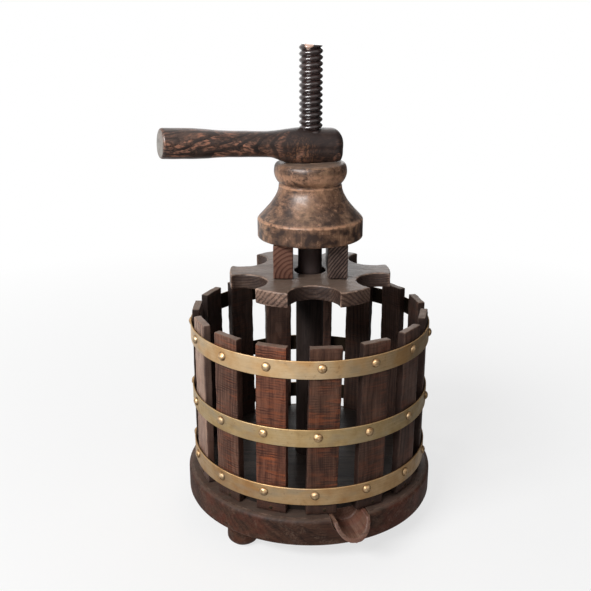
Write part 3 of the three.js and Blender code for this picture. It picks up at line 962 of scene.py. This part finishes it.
plate_finish = stained_wood(
    "plate_stain", (40, 27, 22), (94, 71, 60), (154, 124, 106),
    heart=(0, 5 * mm, 150 * mm), lie=(0, 0, math.radians(3)), ring_gap=1.3 * mm, rings=0.8,
    blotches=0.6, wobble=1.1 * mm, worn=(200, 168, 148), soft_wear=0.9, scuffs=0.15,
    gloss=(0.32, 0.46), relief=0.7, flame=(58, 42, 35), flames=0.6, flame_run=(0.2, 1, 1),
    # Faces that look to the right front or the left back take a painted shade.
    shade_side=(0.9, -0.44, 0), shade_strength=0.55, dust_and_sheen=(114, 99, 88), dust_and_sheen_share=0.8,
)
tree = plate_finish.node_tree
# The scallops' walls are darker: partly stain, and partly a painted shade in the hollows.
shaded_walls = spread(tree, upward(tree, own_facing(tree)), 0.75, 0.35, 0.0, 0.7)
scalloped = spread(tree, from_axis(tree), 44.8 * mm, 43.4 * mm)
tint(plate_finish, times(tree, shaded_walls, scalloped), (42, 30, 26))
finish_piece(plate, plate_finish, "plate", "plate_wood", "press_plate")

# ---- Bars ------------------------------------------------------------------
# Two short blocks glued across the plate, either side of the post, with their end grain to the
# front. They carry the push of the bell.
bar_tones = {
    "left": ((64, 36, 28), (94, 61, 49), (118, 83, 68)),
    "right": ((24, 17, 15), (60, 45, 40), (120, 100, 90)),
}
bar_rings = {"left": 2.3 * mm, "right": 1.5 * mm}
bar_hearts = {"left": (-8 * mm, 0, 132 * mm), "right": (61 * mm, 0, 103 * mm)}
bar_softening = 0.7 * mm
for side, tones in bar_tones.items():
    low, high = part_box("bar_" + side)
    size = [b - a for a, b in zip(low, high)]
    bar = softened_block("block_" + side, size, middle(low, high), bar_softening,
                         ((0, 5 * mm, 8), (1, 5 * mm, 30), (2, 5 * mm, 14)))
    mode("OBJECT")
    weather(bar, 6 * mm, 0.4 * mm)
    smooth(bar, 40)
    bar_finish = stained_wood(
        "bar_%s_stain" % side, *tones,
        heart=bar_hearts[side], lie=(0, 0, math.radians(90)), ring_gap=bar_rings[side], rings=0.9,
        fibres=0.15, wobble=0.9 * mm, worn=(156, 128, 112), wear=0.5, relief=0.8, shine=0.12,
    )
    finish_piece(bar, bar_finish, "plate", "plate_wood", "bar_" + side)

# ---- Bell ------------------------------------------------------------------
# Turned from one block: a straight skirt, a flare up to a groove and a fat bead. Long handled,
# so the stain is rubbed through to paler wood in patches and along every edge.
bell_low, bell_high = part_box("bell")
bell_radius = (bell_high[0] - bell_low[0]) / 2
bell_bottom, bell_top = bell_low[2], bell_high[2]
bell_rise = 41.7
skirt_round = 1.2 * mm
neck_bore = 7.4 * mm
counterbore = bell_top - 16 * mm


def curve(start, pull_1, pull_2, end, steps):
    """Points on a smooth curve between two points of an outline, the first left out."""
    points = []
    for i in range(1, steps + 1):
        t = i / steps
        weights = ((1 - t) ** 3, 3 * t * (1 - t) ** 2, 3 * t * t * (1 - t), t ** 3)
        points.append(tuple(
            sum(w * p[k] for w, p in zip(weights, (start, pull_1, pull_2, end))) for k in (0, 1)
        ))
    return points


bell_side = [(29.25, 10.0)]
for pull_1, pull_2, end, steps in (
    ((29.25, 10.5), (29.05, 10.8), (28.8, 11.05), 4),
    ((27.6, 12.9), (17.45, 21.4), (17.45, 28.9), 30),
):
    bell_side += curve(bell_side[-1], pull_1, pull_2, end, steps)
bell_side += [(17.4, 29.2), (16.95, 29.6), (16.95, 29.9), (17.3, 30.1)]
for pull_1, pull_2, end, steps in (
    ((19.2, 32.1), (20, 34.3), (20, 36.5), 12),
    ((20, 39.7), (19.0, 41.3), (17, 41.4), 10),
):
    bell_side += curve(bell_side[-1], pull_1, pull_2, end, steps)
bell_side += [(15, 41.55), (12.5, bell_rise)]
bell_outline = [
    (slide_bore, bell_bottom),
    (bell_radius - 1.4 * mm, bell_bottom),
    *arc((bell_radius - skirt_round, bell_bottom + skirt_round), skirt_round, -80, 0, 5),
    (bell_radius, bell_bottom + 4 * mm),
    (bell_radius, bell_bottom + 7 * mm),
    *((radius * mm, bell_bottom + height * mm) for radius, height in bell_side),
    (neck_bore, bell_top),
    (neck_bore, counterbore),
    (slide_bore, counterbore),
    (slide_bore, bell_bottom),
]
bell = turn("bell_turned", bell_outline, 144)
weather(bell, 10 * mm, 0.2 * mm)
weather(bell, 2.5 * mm, 0.15 * mm)
smooth(bell, 40)
bell_finish = stained_wood(
    "bell_stain", (52, 34, 25), (123, 90, 68), (168, 130, 100),
    heart=(12 * mm, 30 * mm, 0), lie=quarter_turn, ring_gap=2.2 * mm, rings=0.12,
    fibres=0.2, blotches=0.8, worn=(196, 150, 120), wear=0.9, edge=1.3 * mm, scuffs=0.5,
    scuff_size=1.6 * mm, gloss=(0.34, 0.52), coat=(0.15, 0.3), dust_and_sheen=(128, 115, 105),
    flame=(46, 30, 24), flames=0.85, flame_size=1.3 * mm, flame_run=(1, 0.3, 0.3),
)
tree = bell_finish.node_tree
place = own_place(tree)
ragged = cloud(tree, place, 420, 4)
bell_level = spread(tree, upward(tree, place), bell_bottom, bell_top)
bell_level = plus(tree, bell_level, sums(tree, "SUBTRACT", ragged, 0.5), 0.03)


def bell_bands(*bands):
    """How strongly a tone lies at each height of the bell: bands of (height in mm, strength)."""
    stops = ((height / bell_rise, float(strength)) for height, strength in bands)
    return ramp(tree, bell_level, *stops)


dark = bell_bands((0, 0), (0.8, 1), (9.0, 1), (10.2, 0), (11.6, 0), (12.3, 1), (17, 0.75),
                  (21, 0.2), (27.5, 0.1), (29.3, 0.9), (30.2, 0.9), (30.8, 0.3), (34, 0.45),
                  (38, 0.45), (40.5, 0.1))
dark = times(tree, dark, patches(tree, place, 150, 5, 0.4, 0.6))
tint(bell_finish, dark, (50, 33, 25))
rubbed = bell_bands((0, 0.9), (0.5, 0), (9.9, 0), (10.5, 0.75), (11.1, 0.75), (11.7, 0),
                    (28.2, 0), (28.6, 0.75), (29.0, 0.75), (29.3, 0), (31.2, 0), (33, 0.45),
                    (36, 0.45), (37.5, 0))
tint(bell_finish, times(tree, rubbed, spread(tree, ragged, 0.35, 0.55)), (192, 144, 112))
finish_piece(bell, bell_finish, "bell", "bell_wood", "bell")

# ---- Handle ----------------------------------------------------------------
# A waisted club of figured wood, shaped by hand. Its hub is flat underneath, where it bears on
# the bell, and is tapped through to run on the screw as a nut.
hub_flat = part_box("handle")[0][2]
handle_bearing = math.radians(203)
handle_rise = math.radians(3.5)
handle_reach = 82.7 * mm
hub_seat = 8.5 * mm
hub_radius = 9.4 * mm
hub_drop = 3.4 * mm
hub_side = 2.5 * mm
dome_start = 11.8 * mm
dome_depth = 6.7 * mm
waist_start = 27 * mm
waist_end = 44 * mm
waist_radius = 6.95 * mm
grip_start = 67 * mm
grip_radius = 7.95 * mm
grip_middle = 80 * mm
end_round = 1.2 * mm
club_height = hub_flat + hub_seat
nut_reach = 14 * mm


def club_radius(along):
    waisted = hub_radius + ease(along, hub_side, waist_start) * (waist_radius - hub_radius)
    return waisted + ease(along, waist_end, grip_start) * (grip_radius - waist_radius)


def bulb_radius(along):
    return club_radius(along) - ease(along, hub_side, waist_start) * (hub_drop + 0.3 * mm)


def turn_stick(name, radius_at, reach, steps):
    """Turns a stick from the hub's domed end, laid along X with its axis through the screw's."""
    outline = [(hub_radius * r, dome_depth * z - dome_start) for r, z in arc((0, 0), 1, -90, 0, 12)]
    for i in range(steps + 1):
        along = hub_side + (reach - hub_side - end_round) * i / steps
        outline.append((radius_at(along), along))
    outline += arc((radius_at(reach) - end_round, reach - end_round), end_round, 0, 90, 4)[1:]
    outline.append((0, reach))
    stick = turn(name, outline, 72)
    stick.rotation_euler = quarter_turn
    return settle(stick)


handle = turn_stick("club_handle", club_radius, handle_reach, 44)
bulb = turn_stick("hub_bulb", bulb_radius, waist_start, 14)
bulb.location.z = -hub_drop
carve(handle, settle(bulb), "UNION")
soften(handle, 0.5 * mm, 8)
handle.rotation_euler = (0, -handle_rise, 0)
settle(handle)
handle.rotation_euler = (0, 0, handle_bearing)
handle.location = (0, 0, club_height)
settle(handle)
weather(handle, 16 * mm, 0.4 * mm)
open_up(handle)
saw_off((0, 0, hub_flat), (0, 0, 1), "clear_inner")
close_up()
nut_thread = cut_thread("nut_thread", thread_outline, club_height - nut_reach,
                        club_height + nut_reach, skin=0.15 * mm)
carve(handle, nut_thread)
smooth(handle, 40)
grip_way = spot(1, handle_bearing)
grip_height = club_height + grip_middle * math.sin(handle_rise)
grip_heart = spot(grip_middle, handle_bearing, grip_height + 1.5 * mm, across=grip_radius)
hub_rub = spot(9 * mm, handle_bearing, club_height - 4 * mm, across=hub_radius)
handle_finish = stained_wood(
    "handle_stain", (30, 22, 20), (64, 49, 43), (104, 82, 72),
    heart=grip_heart, lie=(0, -handle_rise, handle_bearing + math.radians(12)), ring_gap=2 * mm,
    rings=0.5, blotches=0.6, wobble=2.6 * mm, worn=(170, 120, 92), soft_wear=0.4, scuffs=0.2,
    gloss=(0.28, 0.46), coat=(0.3, 0.28), flame=(184, 128, 102), flames=1.0,
    flame_size=0.9 * mm, flame_run=(0.3, 1, 1), figured=True, dust_and_sheen=(84, 74, 69), dust_and_sheen_share=0.35,
)
tree = handle_finish.node_tree
place = own_place(tree)
along = measure(tree, "DOT_PRODUCT", place, grip_way)
stain = times(tree, spread(tree, along, 42 * mm, 16 * mm, 0.25, 1.0),
              patches(tree, place, 75, 4, 0.36, 0.56, faint=0.3, full=0.95))
tint(handle_finish, stain, (44, 32, 29))
rub = plus(tree, measure(tree, "DISTANCE", place, hub_rub), cloud(tree, place, 350, 4), 12 * mm)
rub = times(tree, spread(tree, rub, 17 * mm, 8 * mm),
            patches(tree, place, 1300, 3, 0.5, 0.62, (1, 1, 0.5), 0.03, 0.6))
tint(handle_finish, rub, (150, 104, 74))
sawn = measure(tree, "DOT_PRODUCT", own_facing(tree), grip_way)
sawn = times(tree, spread(tree, sawn, 0.9, 0.98),
             patches(tree, place, 300, 4, 0.34, 0.56, faint=0.3, full=0.85))
tint(handle_finish, sawn, (138, 133, 124))
finish_piece(handle, handle_finish, "handle", "handle_wood", "handle")

# ---- Camera, floor and light -----------------------------------------------
# A pale floor and a white surround, with a soft lamp at the front left and a weak one behind,
# set so that a finish shows in its own colour. Another lamp at the front left and a dark card
# on the right show only in polish. In polish the floor glows, dimmer near the object and fading
# towards the right: a painted shade.
scene = bpy.context.scene
camera_data = bpy.data.cameras.new("camera")
camera_data.lens = 50.78
camera_data.sensor_width = 36
camera = bpy.data.objects.new("camera", camera_data)
camera.location = (-0.0081, -0.4503, 0.2663)
camera.rotation_euler = (math.radians(90 - 18.39), 0, 0)
scene.collection.objects.link(camera)
scene.camera = camera
lamp_distance = 1.2
lamp_aim = (0, 0, 0.1)


def lamp(name, width, height, power, bearing, lift, gloss_only=False):
    """A soft lamp that faces the middle of the object, so many degrees round from the front and up
    from level. A gloss_only one shows just in polish."""
    data = bpy.data.lights.new(name, "AREA")
    data.shape = "RECTANGLE"
    data.size = width
    data.size_y = height
    data.energy = power
    new = bpy.data.objects.new(name, data)
    bearing, lift = math.radians(bearing), math.radians(lift)
    way = spot(math.cos(lift), bearing - math.pi / 2, math.sin(lift))
    new.location = [lamp_distance * w + a for w, a in zip(way, lamp_aim)]
    new.rotation_euler = (math.pi / 2 - lift, 0, bearing)
    new.visible_diffuse = not gloss_only
    scene.collection.objects.link(new)


def seen_by(tree, *rays):
    """1 for light that reaches any of these kinds of ray, and 0 for the rest."""
    path = tree.nodes.new("ShaderNodeLightPath")
    seen = path.outputs[rays[0]]
    for ray in rays[1:]:
        seen = sums(tree, "MAXIMUM", seen, path.outputs[ray])
    return seen


lamp("key_lamp", 0.7, 0.28, 12.5, bearing=-40, lift=36)
lamp("sheen_lamp", 0.8, 0.3, 28, bearing=-36, lift=36, gloss_only=True)
lamp("back_lamp", 1.0, 1.0, 3.8, bearing=160, lift=22)
world = bpy.data.worlds.new("studio")
scene.world = world
world.use_nodes = True
air = world.node_tree
seen = seen_by(air, "Is Camera Ray", "Is Glossy Ray", "Is Transmission Ray")
brightness = spread(air, seen, 0, 1, 0.225, 1.0)
feed(air, air.nodes["Background"], {"Color": (1, 1, 1, 1), "Strength": brightness})
pick_none()
bpy.ops.mesh.primitive_plane_add(size=6, location=(0, 0, cad_box[0][2]))
floor = settle(bpy.context.object, "floor")
floor_finish, boards, shader = new_finish("pale_floor")
pale = {"Base Color": (0.9, 0.9, 0.9, 1), "Roughness": 0.9, "Specular IOR Level": 0.1}
feed(boards, shader, pale)
away = measure(boards, "LENGTH", own_place(boards))
to_right = node(boards, "SeparateXYZ", own_place(boards), output=0)
# Seen in polish the floor glows, dimmer near the object and fading towards the right: a painted
# shade.
polish_glow_with_shade = times(boards, spread(boards, away, 0.1, 0.45, 0.35, 1.0),
                 spread(boards, to_right, 0.0, 0.18, 1.0, 0.12))
glow = sums(boards, "MAXIMUM", seen_by(boards, "Is Camera Ray"), polish_glow_with_shade)
glow = node(boards, "Emission", (1, 1, 1, 1), glow)
paleness = times(boards, seen_by(boards, "Is Camera Ray", "Is Glossy Ray"),
                 spread(boards, away, 0.15, 0.6, 0.7, 1.0))
mix = node(boards, "MixShader", paleness, shader.outputs[0], glow)
feed(boards, boards.nodes["Material Output"], {"Surface": mix})
floor.data.materials.append(floor_finish)
bpy.ops.mesh.primitive_plane_add(size=0.8, location=(0.25, 0.32, 0.29), rotation=quarter_turn)
card = settle(bpy.context.object, "dark_card")
card_finish, card_tree, shader = new_finish("dark_card")
feed(card_tree, shader, {"Base Color": (0.05, 0.05, 0.05, 1)})
card.data.materials.append(card_finish)
card.visible_camera = card.visible_diffuse = card.visible_shadow = False
scene.view_settings.view_transform = "Standard"
